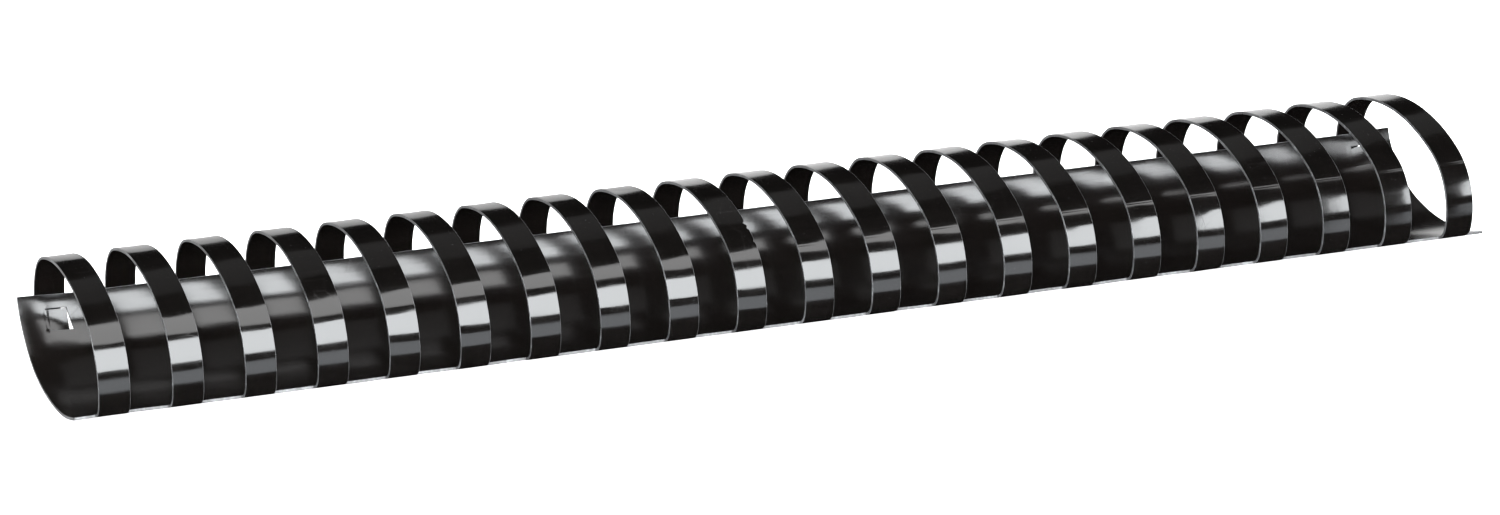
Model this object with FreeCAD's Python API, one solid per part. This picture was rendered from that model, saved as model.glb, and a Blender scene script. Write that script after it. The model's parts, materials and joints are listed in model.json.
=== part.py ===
"""A plastic binding comb: one curled spine with a row of sprung rings that lock behind its back edge.

Millimetres. +X runs along the comb, +Y towards the back edge of the spine, +Z up. The comb lies on
its spine, and the origin is the middle of its box, at the level that it rests on.
"""
import FreeCAD, Part
import math
import os

# The row of rings: 9/16 inch between the rectangular holes of the bound pages.
RING_COUNT = 21
HOLE_PITCH = 14.2875
RING_WIDTH = 6.1
SPINE_OVERHANG = 4.3
SHEET = 0.55

# The cross-section, as runs that are tangent to each other. Each one is (radius, turn in degrees),
# measured on the middle of the sheet, and a radius of None is a straight run of that length.
SPINE_HEADING = -17.5
SPINE_RUNS = [(None, 1.6), (49.6, 36.7), (14.75, 56.4)]
RING_RUNS = [(3.6, -59.5), (13.0, -77.0), (44.1, -44.9), (11.7, -84.6)]

# The hinge at each ring's root, where the ring flexes away from the spine.
HINGE_GAP = 0.05

# The ring's rounded tip, and how far forward the tool that rounds it reaches.
TIP_CORNER = 2.4
TIP_DEPTH = 12.0

# The lock tab cut through the spine below each end ring, bent out at its free end.
TAB_WIDTH = 4.2
TAB_HEIGHT = 4.4
TAB_DROP = 5.2
TAB_BEND = 11.0
TAB_SLIT = 0.3
TAB_OPEN_SLIT = 0.75
TAB_ROOT = 0.4

X_AXIS = FreeCAD.Vector(1, 0, 0)


def point(y, z, x=0.0):
    return FreeCAD.Vector(x, y, z)


def unit(degrees):
    angle = math.radians(degrees)
    return point(math.cos(angle), math.sin(angle))


def path(start, heading, runs, offset=0.0):
    """The edges of a chain of tangent runs, moved to its left by offset, and its last point and heading."""
    here = start + unit(heading + 90) * offset
    edges = []
    for radius, amount in runs:
        if radius is None:
            end = here + unit(heading) * amount
            edges.append(Part.makeLine(here, end))
            here = end
            continue
        side = 90 if amount > 0 else -90
        reach = radius - offset if amount > 0 else radius + offset
        centre = here + unit(heading + side) * reach
        middle = centre - unit(heading + amount / 2 + side) * reach
        end = centre - unit(heading + amount + side) * reach
        edges.append(Part.Arc(here, middle, end).toShape())
        heading += amount
        here = end
    return edges, here, heading


def strip(start, heading, runs, x_middle, width, round_start=False):
    """A band of the sheet that follows the runs, width wide, with its start square or rounded."""
    half = SHEET / 2
    left, left_end, last_heading = path(start, heading, runs, half)
    right, right_end, last_heading = path(start, heading, runs, -half)
    left_start = start + unit(heading + 90) * half
    right_start = start - unit(heading + 90) * half
    if round_start:
        back = start - unit(heading) * half
        start_edge = Part.Arc(left_start, back, right_start).toShape()
    else:
        start_edge = Part.makeLine(left_start, right_start)
    edges = left + [Part.makeLine(left_end, right_end)] + right + [start_edge]
    outline = Part.Wire(Part.__sortEdges__(edges))
    band = Part.Face(outline).extrude(X_AXIS * width)
    band.translate(X_AXIS * (x_middle - width / 2))
    return band


def ring_x(index):
    return (index - (RING_COUNT - 1) / 2) * HOLE_PITCH


def tip_rounding(tip, x_middle):
    """What is cut from a ring's end so that its two corners are round."""
    front = tip.y - TIP_DEPTH / 2
    clear_of_tip = 2 * TIP_CORNER
    block = Part.makeBox(
        RING_WIDTH + clear_of_tip,
        TIP_DEPTH,
        TIP_CORNER + clear_of_tip,
        point(front, tip.z - clear_of_tip, x_middle - (RING_WIDTH + clear_of_tip) / 2),
    )
    flat_width = RING_WIDTH - 2 * TIP_CORNER
    keep = Part.makeBox(
        flat_width,
        TIP_DEPTH,
        TIP_CORNER + 2 * clear_of_tip,
        point(front, tip.z - 2 * clear_of_tip, x_middle - flat_width / 2),
    )
    for side in (-1, 1):
        corner = Part.makeCylinder(
            TIP_CORNER,
            TIP_DEPTH,
            point(front, tip.z + TIP_CORNER, x_middle + side * flat_width / 2),
            FreeCAD.Vector(0, 1, 0),
        )
        keep = keep.fuse(corner)
    return block.cut(keep)


def make_ring(root, index):
    x_middle = ring_x(index)
    ring = strip(root, SPINE_HEADING + 180, RING_RUNS, x_middle, RING_WIDTH, round_start=True)
    tip = path(root, SPINE_HEADING + 180, RING_RUNS)[1]
    return ring.cut(tip_rounding(tip, x_middle))


def local_box(size_x, size_t, size_n, low_x, low_t, low_n, placement):
    """A box in the axes of a lock tab: along the comb, along the sheet's curve, and out through it."""
    block = Part.makeBox(size_x, size_t, size_n, FreeCAD.Vector(low_x, low_t, low_n))
    block.Placement = placement.multiply(block.Placement)
    return block


def add_lock_tab(spine, back_edge, back_heading, x_middle, free_side):
    """Cuts a window in the spine and puts back a flap, hinged away from free_side and bent outwards."""
    turn = math.degrees(TAB_DROP / SPINE_RUNS[-1][0])
    radius = SPINE_RUNS[-1][0]
    centre = back_edge + unit(back_heading + 90) * radius
    middle = centre - unit(back_heading - turn + 90) * radius
    along = unit(back_heading - turn) * free_side
    across = X_AXIS * free_side
    out = across.cross(along)
    axes = FreeCAD.Rotation(across, along, out, "XYZ")
    placement = FreeCAD.Placement(middle + X_AXIS * x_middle, axes)
    deep = 4 * SHEET
    window_x = TAB_WIDTH + TAB_OPEN_SLIT
    window_t = TAB_HEIGHT + 2 * TAB_SLIT
    window = local_box(window_x, window_t, deep, -TAB_WIDTH / 2, -window_t / 2, -deep / 2, placement)
    hinge = FreeCAD.Placement(
        FreeCAD.Vector(-TAB_WIDTH / 2, 0, 0), FreeCAD.Rotation(FreeCAD.Vector(0, 1, 0), -TAB_BEND)
    )
    flap = local_box(
        TAB_WIDTH + TAB_ROOT,
        TAB_HEIGHT,
        SHEET,
        -TAB_ROOT,
        -TAB_HEIGHT / 2,
        -SHEET / 2,
        placement.multiply(hinge),
    )
    return spine.cut(window).fuse(flap).removeSplitter()


def make_spine(root):
    clear = SHEET / 2 + HINGE_GAP
    start = root + unit(SPINE_HEADING) * clear
    runs = [(None, SPINE_RUNS[0][1] - clear)] + SPINE_RUNS[1:]
    end_x = ring_x(RING_COUNT - 1) + RING_WIDTH / 2 + SPINE_OVERHANG
    spine = strip(start, SPINE_HEADING, runs, 0.0, 2 * end_x)
    back_edge, back_heading = path(start, SPINE_HEADING, runs)[1:]
    spine = add_lock_tab(spine, back_edge, back_heading, ring_x(0), 1)
    return add_lock_tab(spine, back_edge, back_heading, ring_x(RING_COUNT - 1), -1)


def main():
    root = point(0.0, 0.0)
    parts = {"spine": make_spine(root)}
    for index in range(RING_COUNT):
        parts["ring_%02d" % (index + 1)] = make_ring(root, index)

    # The origin goes to the middle of the whole comb's box, at its lowest point.
    box = Part.makeCompound(list(parts.values())).optimalBoundingBox(False, False)
    shift = point(-(box.YMin + box.YMax) / 2, -box.ZMin)
    os.makedirs("parts", exist_ok=True)
    for name, shape in parts.items():
        shape.translate(shift)
        solid = shape.Solids[0]
        if len(shape.Solids) != 1 or not solid.isValid():
            raise RuntimeError(name + " is not one valid solid")
        solid.exportStep("parts/%s.step" % name)
    hinge = root + shift
    print("box %.2f x %.2f x %.2f" % (box.XLength, box.YLength, box.ZLength))
    print("hinge axis y %.4f z %.4f" % (hinge.y, hinge.z))


main()
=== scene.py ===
"""A black plastic binding comb lying on a white studio floor.

Metres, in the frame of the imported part: +X along the comb, +Y towards the back edge of its spine,
+Z up. The comb is one sheet, cut and curled: a spine, and a row of rings that grow from its front
edge, curl over it and end behind its back edge. Lengths named in millimetres are turned to metres
where a point is made.
"""

import json
import math
import random

import bpy
from mathutils import Matrix, Vector, noise


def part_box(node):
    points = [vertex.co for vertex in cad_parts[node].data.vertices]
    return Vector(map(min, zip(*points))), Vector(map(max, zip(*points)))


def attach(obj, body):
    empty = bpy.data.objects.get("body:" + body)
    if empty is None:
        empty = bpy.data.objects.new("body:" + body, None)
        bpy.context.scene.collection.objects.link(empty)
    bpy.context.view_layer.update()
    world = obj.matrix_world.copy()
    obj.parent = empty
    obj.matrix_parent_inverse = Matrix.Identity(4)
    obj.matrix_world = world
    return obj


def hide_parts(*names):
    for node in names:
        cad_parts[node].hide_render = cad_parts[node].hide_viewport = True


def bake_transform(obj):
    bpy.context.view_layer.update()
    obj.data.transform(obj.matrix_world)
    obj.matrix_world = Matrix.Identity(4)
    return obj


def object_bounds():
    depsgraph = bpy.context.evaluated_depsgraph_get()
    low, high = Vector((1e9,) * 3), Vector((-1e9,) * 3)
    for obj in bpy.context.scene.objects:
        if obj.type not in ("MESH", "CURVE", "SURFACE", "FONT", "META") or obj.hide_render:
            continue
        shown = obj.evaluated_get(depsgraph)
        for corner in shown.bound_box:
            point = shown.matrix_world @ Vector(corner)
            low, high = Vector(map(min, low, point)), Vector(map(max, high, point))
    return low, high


MM = 0.001

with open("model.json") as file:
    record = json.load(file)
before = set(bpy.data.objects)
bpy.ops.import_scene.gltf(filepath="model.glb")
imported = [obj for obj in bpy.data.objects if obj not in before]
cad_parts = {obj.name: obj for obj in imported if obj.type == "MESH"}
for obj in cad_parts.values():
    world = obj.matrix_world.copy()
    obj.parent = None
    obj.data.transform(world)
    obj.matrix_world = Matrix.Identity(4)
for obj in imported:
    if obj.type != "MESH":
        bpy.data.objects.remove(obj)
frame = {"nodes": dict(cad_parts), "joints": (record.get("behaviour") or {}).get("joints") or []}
cad_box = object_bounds()

# ---------------------------------------------------------------------------------------------
# The sheet's section, in millimetres and degrees: the same tangent runs as the CAD design.
# Each run is (radius, turn), measured on the middle of the sheet, or (None, length) if straight.
# ---------------------------------------------------------------------------------------------
SHEET = 0.55
SPINE_HEADING = -17.5
RING_HEADING = SPINE_HEADING + 180
SPINE_RUNS = [(None, 1.6), (49.6, 36.7), (14.75, 56.4)]
RING_RUNS = [(3.6, -59.5), (13.0, -77.0), (44.1, -44.9), (11.7, -84.6)]
FINE_STEP = 0.05

# The bend is averaged over these shares of this length to each side, so that it eases between runs.
CURL_EASE = 1.2
EASE_SHARES = (-1, -0.5, 0, 0.5, 1)

# The spine's curl relaxes to this one over its last millimetres at each end.
END_RUNS = [(None, 1.6), (49.6, 30.0), (23.0, 50.4)]
END_REACH = 12.0

# The last of the spine before its back edge turns in a little more, and most near the two ends.
LIP = 3.2
LIP_RISE = 0.09
LIP_END_RISE = 0.34
LIP_END_REACH = 5.0
LIP_END_FADE = 10.0

# Where the sheet is cut.
CUT_ROUNDING = 0.07
ROOT_FILLET = 0.35
TIP_CORNER = 2.4
CORNER_STEPS = 6
FILLET_STEPS = 4

# Slack for comparing places, in millimetres, and for counting steps.
NEAR = 1e-4
TINY = 1e-6

# The lock tab below each end ring: a flap cut on three sides, hinged on the side near the comb's end.
# It is bent out, most at the corner away from the back edge, and the sheet sinks towards its hinge. The
# first tab's slit gapes along its free side, and the last one's only at the corner near the back edge.
TAB_WIDTH = 4.2
TAB_HEIGHT = 4.4
TAB_DROP = 5.2
TAB_SLIT_TOP = 0.2
TAB_SLIT_LOW = 0.04
TAB_OPENINGS = [(0.03, 0.72), (0.02, 0.02)]
TAB_BENDS = [(-0.8, 7.0), (0.4, 0.8)]
TAB_SINKS = [0.2, 0.04]
TAB_CREASES = [0.08, 0.0]
TAB_CREASE_REACH = 0.35
TAB_CORNER_GAPS = [-0.16, 0.38]
TAB_ROOT_REACH = 2.6
TAB_END_REACH = 4.2

# The sheet sinks most at this share of a tab's height, and not at all this many heights away. It sinks
# less towards the flap's free side, by this share, and fades off the hinge with this power.
SINK_MIDDLE = 0.65
SINK_REACH = 0.95
SINK_LOSS = 0.85
SINK_POWER = 1.3

# The gap at a flap's free corner opens along its top with this power.
CORNER_POWER = 4

# Shares of a tab's height between which the far side of its slit leans with the opening.
SLIT_SPAN = (-0.02, 1.06)

ring_names = sorted(name for name in frame["nodes"] if name.startswith("ring_"))
ROOT = Vector(frame["joints"][0]["pos_m"]) / MM


def ring_middle(name):
    """Where a ring stands along the comb, and its width, in millimetres."""
    low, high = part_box(name)
    return (low.x + high.x) / 2 / MM, (high.x - low.x) / MM


RING_MIDDLES = [ring_middle(name)[0] for name in ring_names]
RING_WIDTH = ring_middle(ring_names[0])[1]
SPINE_LOW, SPINE_HIGH = (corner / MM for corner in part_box("spine"))


# ---------------------------------------------------------------------------------------------
# The sheet's curve
# ---------------------------------------------------------------------------------------------
def smooth_step(value):
    value = min(max(value, 0.0), 1.0)
    return value * value * (3 - 2 * value)


def run_length(run):
    radius, amount = run
    return amount if radius is None else radius * math.radians(abs(amount))


def bend_at(runs, distance):
    """How sharply the runs curve at a distance from their start, in radians per millimetre."""
    for radius, amount in runs:
        length = run_length((radius, amount))
        if distance < length:
            return 0.0 if radius is None else math.copysign(1 / radius, amount)
        distance -= length
    radius, amount = runs[-1]
    return math.copysign(1 / radius, amount)


class Curve:
    """The middle of the sheet in section, from the root: points and headings at a fine step."""

    def __init__(self, heading, runs):
        self.length = sum(run_length(run) for run in runs)
        count = int(round(self.length / FINE_STEP))
        self.step = self.length / count
        heading = math.radians(heading)
        y, z = ROOT.y, ROOT.z
        self.places = [(y, z, heading)]
        for index in range(count):
            middle = (index + 0.5) * self.step
            bend = sum(bend_at(runs, middle + share * CURL_EASE) for share in EASE_SHARES)
            bend /= len(EASE_SHARES)
            if middle < CURL_EASE:
                bend = bend_at(runs, middle)
            turn = bend * self.step
            y += math.cos(heading + turn / 2) * self.step
            z += math.sin(heading + turn / 2) * self.step
            heading += turn
            self.places.append((y, z, heading))

    def at(self, distance):
        """Point and heading at a distance from the root, along the middle of the sheet."""
        place = min(max(distance / self.step, 0.0), len(self.places) - 1 - TINY)
        index = int(place)
        share = place - index
        first, second = self.places[index], self.places[index + 1]
        return tuple(a + (b - a) * share for a, b in zip(first, second))


def sheet_point(curve, x, distance, lift):
    """A point lift millimetres to the left of the curve's heading."""
    y, z, heading = curve.at(distance)
    return Vector((x, y - math.sin(heading) * lift, z + math.cos(heading) * lift))


# ---------------------------------------------------------------------------------------------
# Meshes of cut sheet
# ---------------------------------------------------------------------------------------------
OUTSIDE, INSIDE, CUT = 0, 1, 2


def cut_sheet(name, columns, rows, place, kept, open_end, materials):
    """A closed solid of sheet with rounded cut edges.

    place(column, row, side) gives the point on the outside (-1) or inside (1) face and its place on
    the flat sheet. kept(column, row) says whether that cell is there. open_end(column, row, column,
    row) is true for a cut that stays square, because another piece carries on from it.
    """
    points, flat, index_of = [], [], {}

    def corner(column, row, side):
        key = (column, row, side)
        if key not in index_of:
            point, spot = place(column, row, side)
            index_of[key] = len(points)
            points.append(point * MM)
            flat.append(spot)
        return index_of[key]

    faces, slots, square_edges, round_edges = [], [], [], []
    cells = [(i, j) for i in range(columns) for j in range(rows) if kept(i, j)]
    present = set(cells)
    for i, j in cells:
        loop = [(i, j), (i + 1, j), (i + 1, j + 1), (i, j + 1)]
        faces.append([corner(a, b, 1) for a, b in loop])
        slots.append(INSIDE)
        faces.append([corner(a, b, -1) for a, b in reversed(loop)])
        slots.append(OUTSIDE)
        neighbours = [(i, j - 1), (i + 1, j), (i, j + 1), (i - 1, j)]
        for side, neighbour in enumerate(neighbours):
            if neighbour in present:
                continue
            first, second = loop[side], loop[(side + 1) % 4]
            top = corner(*second, 1), corner(*first, 1)
            low = corner(*first, -1), corner(*second, -1)
            faces.append([*top, *low])
            slots.append(CUT)
            marked = square_edges if open_end(*first, *second) else round_edges
            marked.append(top)
            marked.append(low)
    mesh = bpy.data.meshes.new(name)
    mesh.from_pydata(points, [], faces)
    mesh.polygons.foreach_set("material_index", slots)
    mesh.polygons.foreach_set("use_smooth", [True] * len(faces))
    layer = mesh.uv_layers.new(name="Sheet")
    for loop in mesh.loops:
        layer.data[loop.index].uv = flat[loop.vertex_index]
    for material in materials:
        mesh.materials.append(material)
    squares = {frozenset(edge) for edge in square_edges}
    rounds = {frozenset(edge) for edge in round_edges}
    weights = [1.0 if frozenset(edge.vertices) in rounds else 0.0 for edge in mesh.edges]
    sharps = [frozenset(edge.vertices) in squares for edge in mesh.edges]
    mesh.attributes.new("bevel_weight_edge", "FLOAT", "EDGE").data.foreach_set("value", weights)
    mesh.attributes.new("sharp_edge", "BOOLEAN", "EDGE").data.foreach_set("value", sharps)
    piece = bpy.data.objects.new(name, mesh)
    bpy.context.scene.collection.objects.link(piece)
    rounding = piece.modifiers.new("cut rounding", "BEVEL")
    rounding.limit_method = "WEIGHT"
    rounding.width = CUT_ROUNDING * MM
    rounding.segments = 2
    rounding.material = CUT
    rounding.harden_normals = True
    rounding.use_clamp_overlap = False
    evaluated = piece.evaluated_get(bpy.context.evaluated_depsgraph_get())
    finished = bpy.data.meshes.new_from_object(evaluated)
    piece.modifiers.clear()
    piece.data = finished
    finished.name = name
    return piece


def spread(low, high, widest):
    """Even steps from low up to but not including high, none wider than widest."""
    count = max(1, math.ceil((high - low) / widest - TINY))
    return [low + (high - low) * index / count for index in range(count)]


# ---------------------------------------------------------------------------------------------
# Rings
# ---------------------------------------------------------------------------------------------
RING_STEP = 0.55
RING_COLUMNS = 8

# Each ring is cupped across, rolls a little its own way and waves, all growing over this length from
# its root. The cup is per millimetre of width squared, the roll per millimetre of width.
RING_FREE = 12
RING_CUP = 0.004
RING_ROLL = 0.008
RING_WAVE = 0.06
RING_WAVES = (0.15, 0.12)
RING_SEEDS = (7.3, 3.1)

# Nicks in a ring's right edge: ring, distance from its root, depth and half length. Each gets rows of
# the mesh at these shares of its half length.
NICKS = [(9, 25.6, 0.55, 0.8), (9, 24.0, 0.35, 0.6), (9, 20.2, 0.3, 0.4)]
NICK_ROWS = (-0.9, -0.5, -0.2, 0.15, 0.5)

# Millimetres to one unit of the flat sheet's map.
MAP_UNIT = 10


def tip_half_width(distance_to_tip):
    """Half the ring's width near its rounded tip."""
    half = RING_WIDTH / 2
    if distance_to_tip >= TIP_CORNER:
        return half
    reach = TIP_CORNER - distance_to_tip
    return half - TIP_CORNER + math.sqrt(max(TIP_CORNER**2 - reach**2, 0.0))


def make_ring(index, materials):
    middle = RING_MIDDLES[index]
    chance = random.Random(index + 1)
    seed = Vector((index * RING_SEEDS[0], index * RING_SEEDS[1], 0.0))
    roll = RING_ROLL * chance.uniform(-1, 1)
    curve = Curve(RING_HEADING, RING_RUNS)
    nicks = [nick[1:] for nick in NICKS if nick[0] == index]
    rows = spread(ROOT_FILLET, curve.length - TIP_CORNER, RING_STEP)
    for step in range(CORNER_STEPS, -1, -1):
        rows.append(curve.length - TIP_CORNER * (1 - math.cos(math.pi / 2 * step / CORNER_STEPS)))
    for at, depth, half in nicks:
        rows += [at + share * half for share in NICK_ROWS]
    rows.sort()

    def place(column, row, side):
        distance = rows[row]
        across = (2 * column / RING_COLUMNS - 1) * tip_half_width(curve.length - distance)
        if column == RING_COLUMNS:
            for at, depth, half in nicks:
                nick_depth = depth * max(0.0, 1 - abs(distance - at) / half)
                across -= nick_depth
        free = smooth_step((distance - ROOT_FILLET) / RING_FREE)
        cup = RING_CUP * across * across
        spot = Vector((across * RING_WAVES[0], distance * RING_WAVES[1], 0))
        wave = noise.noise(spot + seed) * RING_WAVE
        lift = free * (wave - roll * across + cup)
        point = sheet_point(curve, middle + across, distance, lift - side * SHEET / 2)
        return point, ((middle + across) / MAP_UNIT, -distance / MAP_UNIT)

    def at_root(column_a, row_a, column_b, row_b):
        return row_a == 0 and row_b == 0

    name = ring_names[index]
    piece = cut_sheet(
        name + "_loop", RING_COLUMNS, len(rows) - 1, place, lambda i, j: True, at_root, materials
    )
    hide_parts(name)
    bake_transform(piece)


# ---------------------------------------------------------------------------------------------
# Spine
# ---------------------------------------------------------------------------------------------
SPINE_COLUMN = 2.1
SPINE_ROW = 0.9
TAB_ROW = 0.55
ROOT_ROWS = [0.0, 0.12, 0.35, 0.8]
EDGE_ROW = 0.3

# The edge between the rings is drawn back into their fillets over this length of sheet.
FRONT_REACH = 1.0

# How far the sheet waves, and how many waves to the millimetre along the comb and across the sheet.
SPINE_WAVE = 0.1
SPINE_WAVES = (0.09, 0.11)
SPINE_SEED = 4.0

# Columns of the mesh on each lock tab, and beside its hinge, towards the comb's end.
TAB_COLUMNS = (-1.4, -0.7, 0, 0.7, 1.4)
BESIDE_COLUMNS = (1, 1.7, 2.4, 3.1, 3.8, 4.5)


def front_of(x):
    """How far in front of the root the spine's edge is at x: the rings grow from it with a fillet."""
    nearest = min(abs(x - middle) for middle in RING_MIDDLES) - RING_WIDTH / 2
    if nearest <= TINY:
        return -ROOT_FILLET
    if nearest >= ROOT_FILLET:
        return 0.0
    reach = ROOT_FILLET - nearest
    return -ROOT_FILLET + math.sqrt(max(ROOT_FILLET**2 - reach**2, 0.0))


class LockTab:
    """A lock tab's lines across the spine, from its hinge to the far side of its open slit."""

    def __init__(self, middle, free, opening, bend, sink, crease, corner_gap):
        self.middle, self.free = middle, free
        self.open_top, self.open_low = opening
        self.bend_top, self.bend_low = bend
        self.sink, self.crease, self.corner_gap = sink, crease, corner_gap
        self.hinge_x = middle - free * TAB_WIDTH / 2
        self.edge_x = middle + free * TAB_WIDTH / 2
        self.far_x = self.edge_x + free * self.open_low


def make_spine(materials):
    curve = Curve(SPINE_HEADING, SPINE_RUNS)
    end_curve = Curve(SPINE_HEADING, END_RUNS)
    ring_curve = Curve(RING_HEADING, RING_RUNS)
    sides = [(RING_MIDDLES[0], 1), (RING_MIDDLES[-1], -1)]
    shapes = zip(TAB_OPENINGS, TAB_BENDS, TAB_SINKS, TAB_CREASES, TAB_CORNER_GAPS)
    tabs = [LockTab(*side, *shape) for side, shape in zip(sides, shapes)]
    tab_low = curve.length - TAB_DROP - TAB_HEIGHT / 2
    tab_high = curve.length - TAB_DROP + TAB_HEIGHT / 2

    stops = [SPINE_LOW.x, SPINE_HIGH.x]
    for middle in RING_MIDDLES:
        for sign in (-1, 1):
            edge = middle + sign * RING_WIDTH / 2
            stops += [
                edge + sign * ROOT_FILLET * (1 - math.cos(math.pi / 2 * step / FILLET_STEPS))
                for step in range(FILLET_STEPS + 1)
            ]
    for tab in tabs:
        stops += [tab.hinge_x, tab.edge_x, tab.far_x]
        stops += [tab.middle + offset for offset in TAB_COLUMNS]
        stops += [tab.hinge_x + sign * TAB_CREASE_REACH for sign in (-1, 1)]
        stops += [tab.hinge_x - tab.free * offset for offset in BESIDE_COLUMNS]
    stops = sorted(set(round(stop, 5) for stop in stops))
    xs = []
    for low, high in zip(stops, stops[1:]):
        xs += spread(low, high, SPINE_COLUMN)
    xs.append(stops[-1])

    row_stops = ROOT_ROWS + [tab_low - TAB_SLIT_LOW, tab_low, tab_high, tab_high + TAB_SLIT_TOP]
    row_stops += [curve.length - EDGE_ROW, curve.length]
    rows = []
    for low, high in zip(row_stops, row_stops[1:]):
        rows += spread(low, high, TAB_ROW if low == tab_low else SPINE_ROW)
    rows.append(row_stops[-1])

    def tab_at(x, distance):
        """Whether this place is on a lock tab's flap, in the slit round it, or neither."""
        for tab in tabs:
            low, high = sorted((tab.hinge_x, tab.far_x))
            if low < x < high and tab_low - TAB_SLIT_LOW < distance < tab_high + TAB_SLIT_TOP:
                on_flap = (tab.edge_x - x) * tab.free > 0 and tab_low < distance < tab_high
                return "flap" if on_flap else "slit"
        return None

    def kept(column, row):
        x = (xs[column] + xs[column + 1]) / 2
        distance = (rows[row] + rows[row + 1]) / 2
        return tab_at(x, distance) != "slit"

    def place(column, row, side):
        x, distance = xs[column], rows[row]
        if distance < FRONT_REACH:
            distance += front_of(x) * (1 - distance / FRONT_REACH)
        from_end = min(x - SPINE_LOW.x, SPINE_HIGH.x - x)
        near_end = 1 - smooth_step(from_end / END_REACH)
        in_lip = max(0.0, 1 - (curve.length - distance) / LIP) ** 2
        in_end = 1 - smooth_step((from_end - LIP_END_REACH) / LIP_END_FADE)
        lift = in_lip * (LIP_RISE + LIP_END_RISE * in_end)
        spot = Vector((x * SPINE_WAVES[0], distance * SPINE_WAVES[1], SPINE_SEED))
        lift += noise.noise(spot) * SPINE_WAVE
        share = (distance - tab_low) / TAB_HEIGHT
        for tab in tabs:
            out = (x - tab.hinge_x) * tab.free
            over_flap = 0 < out <= TAB_WIDTH + NEAR
            on_flap = over_flap and -NEAR <= share <= 1 + NEAR
            if on_flap:
                beside = 1 - SINK_LOSS * out / TAB_WIDTH
            else:
                reach = TAB_ROOT_REACH if out > 0 else TAB_END_REACH
                beside = max(0.0, 1 - abs(out) / reach) ** SINK_POWER
            lift -= tab.sink * beside * (1 - smooth_step(abs(share - SINK_MIDDLE) / SINK_REACH))
            if 0 <= share <= 1:
                lift -= tab.crease * max(0.0, 1 - abs(out) / TAB_CREASE_REACH)
            if SLIT_SPAN[0] <= share <= SLIT_SPAN[1] and abs(x - tab.far_x) < NEAR:
                x = tab.edge_x + tab.free * (tab.open_low + (tab.open_top - tab.open_low) * share)
            if over_flap and abs(distance - tab_high) < NEAR:
                distance -= tab.corner_gap * (out / TAB_WIDTH) ** CORNER_POWER
            if on_flap:
                bend = tab.bend_low + (tab.bend_top - tab.bend_low) * share
                lift -= out * math.sin(math.radians(bend))
        if distance >= 0:
            point = sheet_point(curve, x, distance, lift + side * SHEET / 2)
            end_distance = distance * end_curve.length / curve.length
            end_point = sheet_point(end_curve, x, end_distance, lift + side * SHEET / 2)
            point = point.lerp(end_point, near_end)
        else:
            point = sheet_point(ring_curve, x, -distance, -side * SHEET / 2)
        return point, (x / MAP_UNIT, distance / MAP_UNIT)

    def stays_square(column_a, row_a, column_b, row_b):
        """Whether this cut edge is left unrounded: at a ring's root, and round the last tab's slit."""
        x = (xs[column_a] + xs[column_b]) / 2
        if row_a == 0 and row_b == 0:
            return min(abs(x - middle) for middle in RING_MIDDLES) < RING_WIDTH / 2
        return 0 < row_a < len(rows) - 1 and 0 < column_a < len(xs) - 1 and x > 0

    piece = cut_sheet("spine_sheet", len(xs) - 1, len(rows) - 1, place, kept, stays_square, materials)
    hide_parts("spine")
    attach(piece, "spine")


# ---------------------------------------------------------------------------------------------
# Materials
# ---------------------------------------------------------------------------------------------
# Every pattern is laid on the flat sheet: its UV layer is in centimetres, x along the comb and y
# from the roots, positive into the spine and negative along the rings.
FORMING_LINES = [-2.18, -1.77]
PLASTIC_IOR = 1.52

# How far one seed moves a pattern on the sheet.
NOISE_SHIFT = (3.7, 1.9, 1.0)
SCRATCH_SHIFT = (1.0, 2.3)

# Scratches gather in patches: how many to the centimetre, their seed beside the scratches' own, and
# the noise between which they fade in.
PATCH_SCALE = 0.5
PATCH_SEED = 5
PATCH_FADE = (0.52, 0.66)


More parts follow.
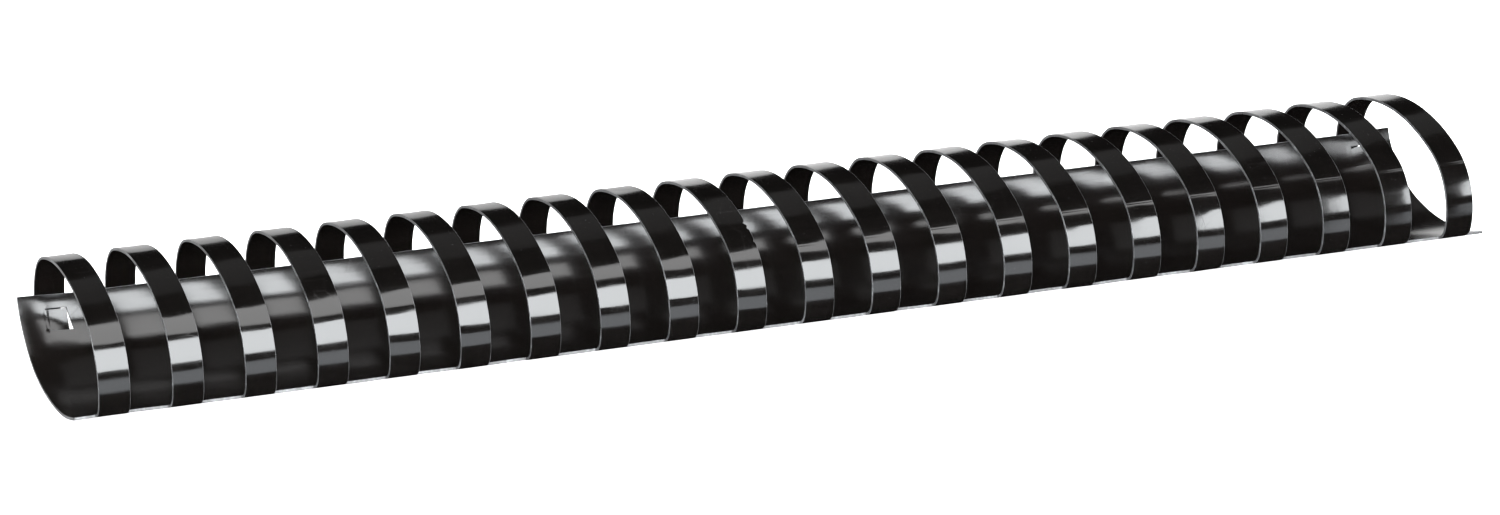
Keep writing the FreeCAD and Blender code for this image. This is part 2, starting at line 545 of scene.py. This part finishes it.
class Plastic:
    """A black plastic surface, built up from patterns on the flat sheet."""

    def __init__(self, name):
        self.material = bpy.data.materials.new(name)
        self.material.use_nodes = True
        self.nodes = self.material.node_tree.nodes
        self.links = self.material.node_tree.links
        self.shader = self.nodes["Principled BSDF"]
        self.shader.inputs["IOR"].default_value = PLASTIC_IOR
        self.sheet = self.nodes.new("ShaderNodeUVMap")
        self.sheet.uv_map = "Sheet"

    def math(self, operation, first, second=0.0, third=0.0):
        node = self.nodes.new("ShaderNodeMath")
        node.operation = operation
        for socket, value in zip(node.inputs, (first, second, third)):
            if isinstance(value, (int, float)):
                socket.default_value = value
            else:
                self.links.new(value, socket)
        return node.outputs[0]

    def noise(self, along, across, seed, detail=3.0, roughness=0.5):
        """Noise from 0 to 1, with this many features to the centimetre along the comb and across it."""
        mapping = self.nodes.new("ShaderNodeMapping")
        mapping.inputs["Location"].default_value = [seed * shift for shift in NOISE_SHIFT]
        mapping.inputs["Scale"].default_value = (along, across, 1.0)
        self.links.new(self.sheet.outputs["UV"], mapping.inputs["Vector"])
        node = self.nodes.new("ShaderNodeTexNoise")
        node.inputs["Scale"].default_value = 1.0
        node.inputs["Detail"].default_value = detail
        node.inputs["Roughness"].default_value = roughness
        self.links.new(mapping.outputs["Vector"], node.inputs["Vector"])
        return node.outputs["Fac"]

    def ramp(self, value, low, high, start, end):
        """value from low to high turned to start to end, and held beyond them."""
        node = self.nodes.new("ShaderNodeMapRange")
        for name, amount in zip(("From Min", "From Max", "To Min", "To Max"), (low, high, start, end)):
            node.inputs[name].default_value = amount
        self.links.new(value, node.inputs["Value"])
        return node.outputs["Result"]

    def colours(self, value, stops):
        """A colour for each value, from a list of (place, colour)."""
        node = self.nodes.new("ShaderNodeValToRGB")
        elements = node.color_ramp.elements
        while len(elements) < len(stops):
            elements.new(0.5)
        for element, (place, colour) in zip(elements, stops):
            element.position = place
            element.color = colour
        self.links.new(value, node.inputs["Fac"])
        return node.outputs["Color"]

    def line(self, place, half_width):
        """1 on a line along the comb, at this place across the flat sheet, and 0 away from it."""
        split = self.nodes.new("ShaderNodeSeparateXYZ")
        self.links.new(self.sheet.outputs["UV"], split.inputs[0])
        off = self.math("ABSOLUTE", self.math("SUBTRACT", split.outputs["Y"], place))
        return self.ramp(off, 0.0, half_width, 1.0, 0.0)

    def scratches(self, turn, along, across, seed, thin):
        """Thin straight marks: 1 on them and 0 elsewhere."""
        mapping = self.nodes.new("ShaderNodeMapping")
        mapping.inputs["Location"].default_value = [*(seed * shift for shift in SCRATCH_SHIFT), 0]
        mapping.inputs["Rotation"].default_value = (0, 0, math.radians(turn))
        mapping.inputs["Scale"].default_value = (along, across, 1.0)
        self.links.new(self.sheet.outputs["UV"], mapping.inputs["Vector"])
        node = self.nodes.new("ShaderNodeTexVoronoi")
        node.feature = "DISTANCE_TO_EDGE"
        node.inputs["Scale"].default_value = 1.0
        self.links.new(mapping.outputs["Vector"], node.inputs["Vector"])
        mark = self.ramp(node.outputs["Distance"], 0.0, thin, 1.0, 0.0)
        patches = self.noise(PATCH_SCALE, PATCH_SCALE, seed + PATCH_SEED)
        patch = self.ramp(patches, *PATCH_FADE, 0.0, 1.0)
        return self.math("MULTIPLY", mark, patch)

    def sum(self, *parts):
        """The sum of (value, amount) pairs."""
        total = None
        for value, amount in parts:
            if total is None:
                total = self.math("MULTIPLY", value, amount)
            else:
                total = self.math("MULTIPLY_ADD", value, amount, total)
        return total

    def finish(self, colour, roughness, height):
        """Height is in millimetres."""
        bump = self.nodes.new("ShaderNodeBump")
        bump.inputs["Distance"].default_value = MM
        self.links.new(height, bump.inputs["Height"])
        self.links.new(bump.outputs["Normal"], self.shader.inputs["Normal"])
        self.links.new(colour, self.shader.inputs["Base Color"])
        self.links.new(roughness, self.shader.inputs["Roughness"])
        return self.material


def glossy_outside():
    """The outside of the sheet: glossy, with rollers' lines along it and light handling marks."""
    skin = Plastic("glossy black outside")
    streaks = skin.noise(0.35, 14.0, 1, 4.0, 0.6)
    peel = skin.noise(9.0, 9.0, 2)
    waves = skin.noise(1.6, 2.0, 3)
    grime = skin.noise(1.1, 1.6, 4, 5.0, 0.6)
    dust = skin.ramp(skin.noise(34.0, 34.0, 5, 1.0), 0.77, 0.81, 0.0, 1.0)
    marks = skin.scratches(24, 0.9, 3.4, 6, 0.012)
    rubs = skin.scratches(-38, 2.6, 0.8, 8, 0.014)
    bends = [(skin.line(place, 0.03), 0.006) for place in FORMING_LINES]
    height = skin.sum(
        (waves, 0.012),
        (streaks, 0.0045),
        (peel, 0.0016),
        (marks, -0.0016),
        (rubs, -0.0012),
        (dust, 0.006),
        *bends,
    )
    worn = skin.sum((grime, 0.5), (streaks, 0.3), (marks, 0.35), (rubs, 0.25), (dust, 0.8))
    colour = skin.colours(
        worn,
        [
            (0.25, (0.0016, 0.0014, 0.0013, 1)),
            (0.55, (0.0028, 0.0024, 0.0022, 1)),
            (0.85, (0.016, 0.015, 0.015, 1)),
            (1.0, (0.05, 0.05, 0.052, 1)),
        ],
    )
    return skin.finish(colour, skin.ramp(worn, 0.2, 1.0, 0.045, 0.30), height)


def satin_inside():
    """The inside of the sheet: duller and cloudy, with fine lines along it."""
    skin = Plastic("satin black inside")
    clouds = skin.noise(0.8, 1.3, 11, 4.0, 0.55)
    streaks = skin.noise(0.3, 11.0, 12, 4.0, 0.6)
    grain = skin.noise(14.0, 14.0, 13, 2.0)
    dust = skin.ramp(skin.noise(30.0, 30.0, 14, 1.0), 0.78, 0.82, 0.0, 1.0)
    marks = skin.scratches(12, 0.7, 3.0, 15, 0.012)
    height = skin.sum((clouds, 0.03), (streaks, 0.0045), (grain, 0.0016), (marks, -0.002), (dust, 0.006))
    worn = skin.sum((clouds, 0.45), (streaks, 0.3), (grain, 0.12), (marks, 0.3), (dust, 0.6))
    colour = skin.colours(
        worn,
        [
            (0.25, (0.0026, 0.0020, 0.0018, 1)),
            (0.6, (0.0042, 0.0034, 0.0030, 1)),
            (0.9, (0.016, 0.015, 0.014, 1)),
        ],
    )
    return skin.finish(colour, skin.ramp(worn, 0.2, 0.8, 0.12, 0.26), height)


def cut_edge():
    """Where the sheet is cut through: rough, paler, and whitened in places by the shearing."""
    skin = Plastic("cut black edge")
    tear = skin.noise(16.0, 16.0, 21, 4.0, 0.7)
    length = skin.noise(2.2, 2.2, 22)
    height = skin.sum((tear, 0.02), (length, 0.01))
    worn = skin.sum((tear, 0.55), (length, 0.45))
    colour = skin.colours(
        worn,
        [
            (0.3, (0.02, 0.019, 0.019, 1)),
            (0.5, (0.055, 0.055, 0.057, 1)),
            (0.68, (0.19, 0.195, 0.20, 1)),
        ],
    )
    return skin.finish(colour, skin.ramp(worn, 0.3, 0.7, 0.22, 0.5), height)


# ---------------------------------------------------------------------------------------------
# Studio
# ---------------------------------------------------------------------------------------------
VIEW_AZIMUTH = -21.507
VIEW_ELEVATION = 18.883
VIEW_DISTANCE = 1.03367
VIEW_AIM = Vector((-0.0054, -0.0008, -0.0022))
LENS = 123.6
SENSOR = 36.0

FLOOR_SIZE = 12
FLOOR_DROP = 0.00015
FLOOR_WHITE = 0.85
FLOOR_ROUGHNESS = 0.9
FLOOR_GLOW = 1.1
WORLD_GLOW = 0.008

# Each soft box: name, its two angles about the comb, distance, left and right end, radiance, colour.
SOFT_BOXES = [
    ("low front", 179.5, 201, 1.2, -0.7, 0.74, 2.9, (0.9, 0.95, 1.0)),
    ("backdrop", -25, 9.5, 2.5, 0.81, 5.0, 1.2, (1, 1, 1)),
    ("backdrop left", -25, 9.5, 2.5, -3.0, 0.81, 0.85, (1, 1, 1)),
    ("room", 36, 60, 2.0, -2.0, 3.0, 0.16, (1, 1, 1)),
]

# Each glowing panel: name, the angle it faces, distance, radiance, colour, and its corners, each a
# place along the comb and an angle about it.
PANELS = [
    (
        "key", 147, 1.2, 15.5, (0.95, 0.98, 1.0, 1.0),
        [(-0.9, 128), (0.14, 128), (0.3, 132), (0.62, 133), (0.71, 142), (0.745, 166), (-0.9, 166)],
    ),
    (
        "overhead", 90, 0.6, 4.6, (1, 1, 1, 1),
        [
            (-0.7, 84), (0.01, 84.5), (0.05, 88.5), (0.11, 93.5), (0.2, 98), (0.27, 102.5),
            (0.37, 104.5), (0.43, 103.9), (0.47, 104.4), (0.43, 106), (0.38, 107.5), (0.33, 111),
            (0.27, 115.5), (0.2, 118.5), (0.09, 120), (-0.7, 119.5),
        ],
    ),
]


def make_camera(centre):
    data = bpy.data.cameras.new("camera")
    data.sensor_width = SENSOR
    data.lens = LENS
    camera = bpy.data.objects.new("camera", data)
    bpy.context.scene.collection.objects.link(camera)
    turn, rise = math.radians(VIEW_AZIMUTH), math.radians(VIEW_ELEVATION)
    back = Vector((math.sin(turn) * math.cos(rise), -math.cos(turn) * math.cos(rise), math.sin(rise)))
    camera.location = centre + VIEW_AIM + back * VIEW_DISTANCE
    camera.rotation_euler = back.to_track_quat("Z", "Y").to_euler()
    bpy.context.scene.camera = camera


def strip_light(name, low, high, distance, left, right, radiance, colour):
    """A long soft box parallel to the comb, between two angles about it, from the back over the top."""
    angles = [math.radians(angle) for angle in (low, high)]
    ends = [Vector((0, math.cos(angle), math.sin(angle))) * distance for angle in angles]
    middle = (ends[0] + ends[1]) / 2
    data = bpy.data.lights.new(name, "AREA")
    data.shape = "RECTANGLE"
    data.size = right - left
    data.size_y = (ends[1] - ends[0]).length
    data.energy = radiance * math.pi * data.size * data.size_y
    data.color = colour
    lamp = bpy.data.objects.new(name, data)
    bpy.context.scene.collection.objects.link(lamp)
    lamp.location = middle + Vector(((left + right) / 2, 0, 0))
    across = Vector((1, 0, 0))
    out = middle.normalized()
    lamp.rotation_euler = Matrix((across, out.cross(across), out)).transposed().to_euler()
    lamp.visible_camera = False


def panel_light(name, facing, distance, radiance, colour, corners):
    """A flat glowing panel parallel to the comb, square to the angle it faces, with these corners.

    Each corner is a place along the comb and an angle about it, from the back over the top.
    """
    square = math.radians(facing)
    points = []
    for x, angle in corners:
        reach = distance * math.tan(math.radians(angle - facing))
        y = distance * math.cos(square) - reach * math.sin(square)
        z = distance * math.sin(square) + reach * math.cos(square)
        points.append((x, y, z))
    mesh = bpy.data.meshes.new(name)
    mesh.from_pydata(points, [], [list(range(len(corners)))])
    panel = bpy.data.objects.new(name, mesh)
    bpy.context.scene.collection.objects.link(panel)
    material = bpy.data.materials.new(name)
    material.use_nodes = True
    shader = material.node_tree.nodes["Principled BSDF"]
    shader.inputs["Base Color"].default_value = (0, 0, 0, 1)
    shader.inputs["Emission Color"].default_value = colour
    shader.inputs["Emission Strength"].default_value = radiance
    mesh.materials.append(material)
    panel.visible_camera = False
    panel.visible_shadow = False


def make_studio():
    for panel in PANELS:
        panel_light(*panel)
    for soft_box in SOFT_BOXES:
        strip_light(*soft_box)

    bpy.ops.mesh.primitive_plane_add(size=FLOOR_SIZE)
    floor = bpy.context.object
    floor.name = "floor"
    floor.location.z = -FLOOR_DROP
    material = bpy.data.materials.new("floor white")
    material.use_nodes = True
    shader = material.node_tree.nodes["Principled BSDF"]
    shader.inputs["Base Color"].default_value = (FLOOR_WHITE, FLOOR_WHITE, FLOOR_WHITE, 1.0)
    shader.inputs["Roughness"].default_value = FLOOR_ROUGHNESS
    shader.inputs["Emission Color"].default_value = (1, 1, 1, 1)
    shader.inputs["Emission Strength"].default_value = FLOOR_GLOW
    floor.data.materials.append(material)
    floor.visible_glossy = False
    floor.visible_shadow = False

    world = bpy.data.worlds.new("studio")
    bpy.context.scene.world = world
    world.use_nodes = True
    nodes, links = world.node_tree.nodes, world.node_tree.links
    dark = nodes["Background"]
    dark.inputs["Color"].default_value = (1, 1, 1, 1)
    dark.inputs["Strength"].default_value = WORLD_GLOW
    white = nodes.new("ShaderNodeBackground")
    white.inputs["Strength"].default_value = 1.0
    path = nodes.new("ShaderNodeLightPath")
    mix = nodes.new("ShaderNodeMixShader")
    links.new(path.outputs["Is Camera Ray"], mix.inputs["Fac"])
    links.new(dark.outputs["Background"], mix.inputs[1])
    links.new(white.outputs["Background"], mix.inputs[2])
    links.new(mix.outputs["Shader"], nodes["World Output"].inputs["Surface"])
    bpy.context.scene.view_settings.view_transform = "Standard"


materials = [glossy_outside(), satin_inside(), cut_edge()]
make_spine(materials)
for ring_index in range(len(ring_names)):
    make_ring(ring_index, materials)
make_camera((cad_box[0] + cad_box[1]) / 2)
make_studio()
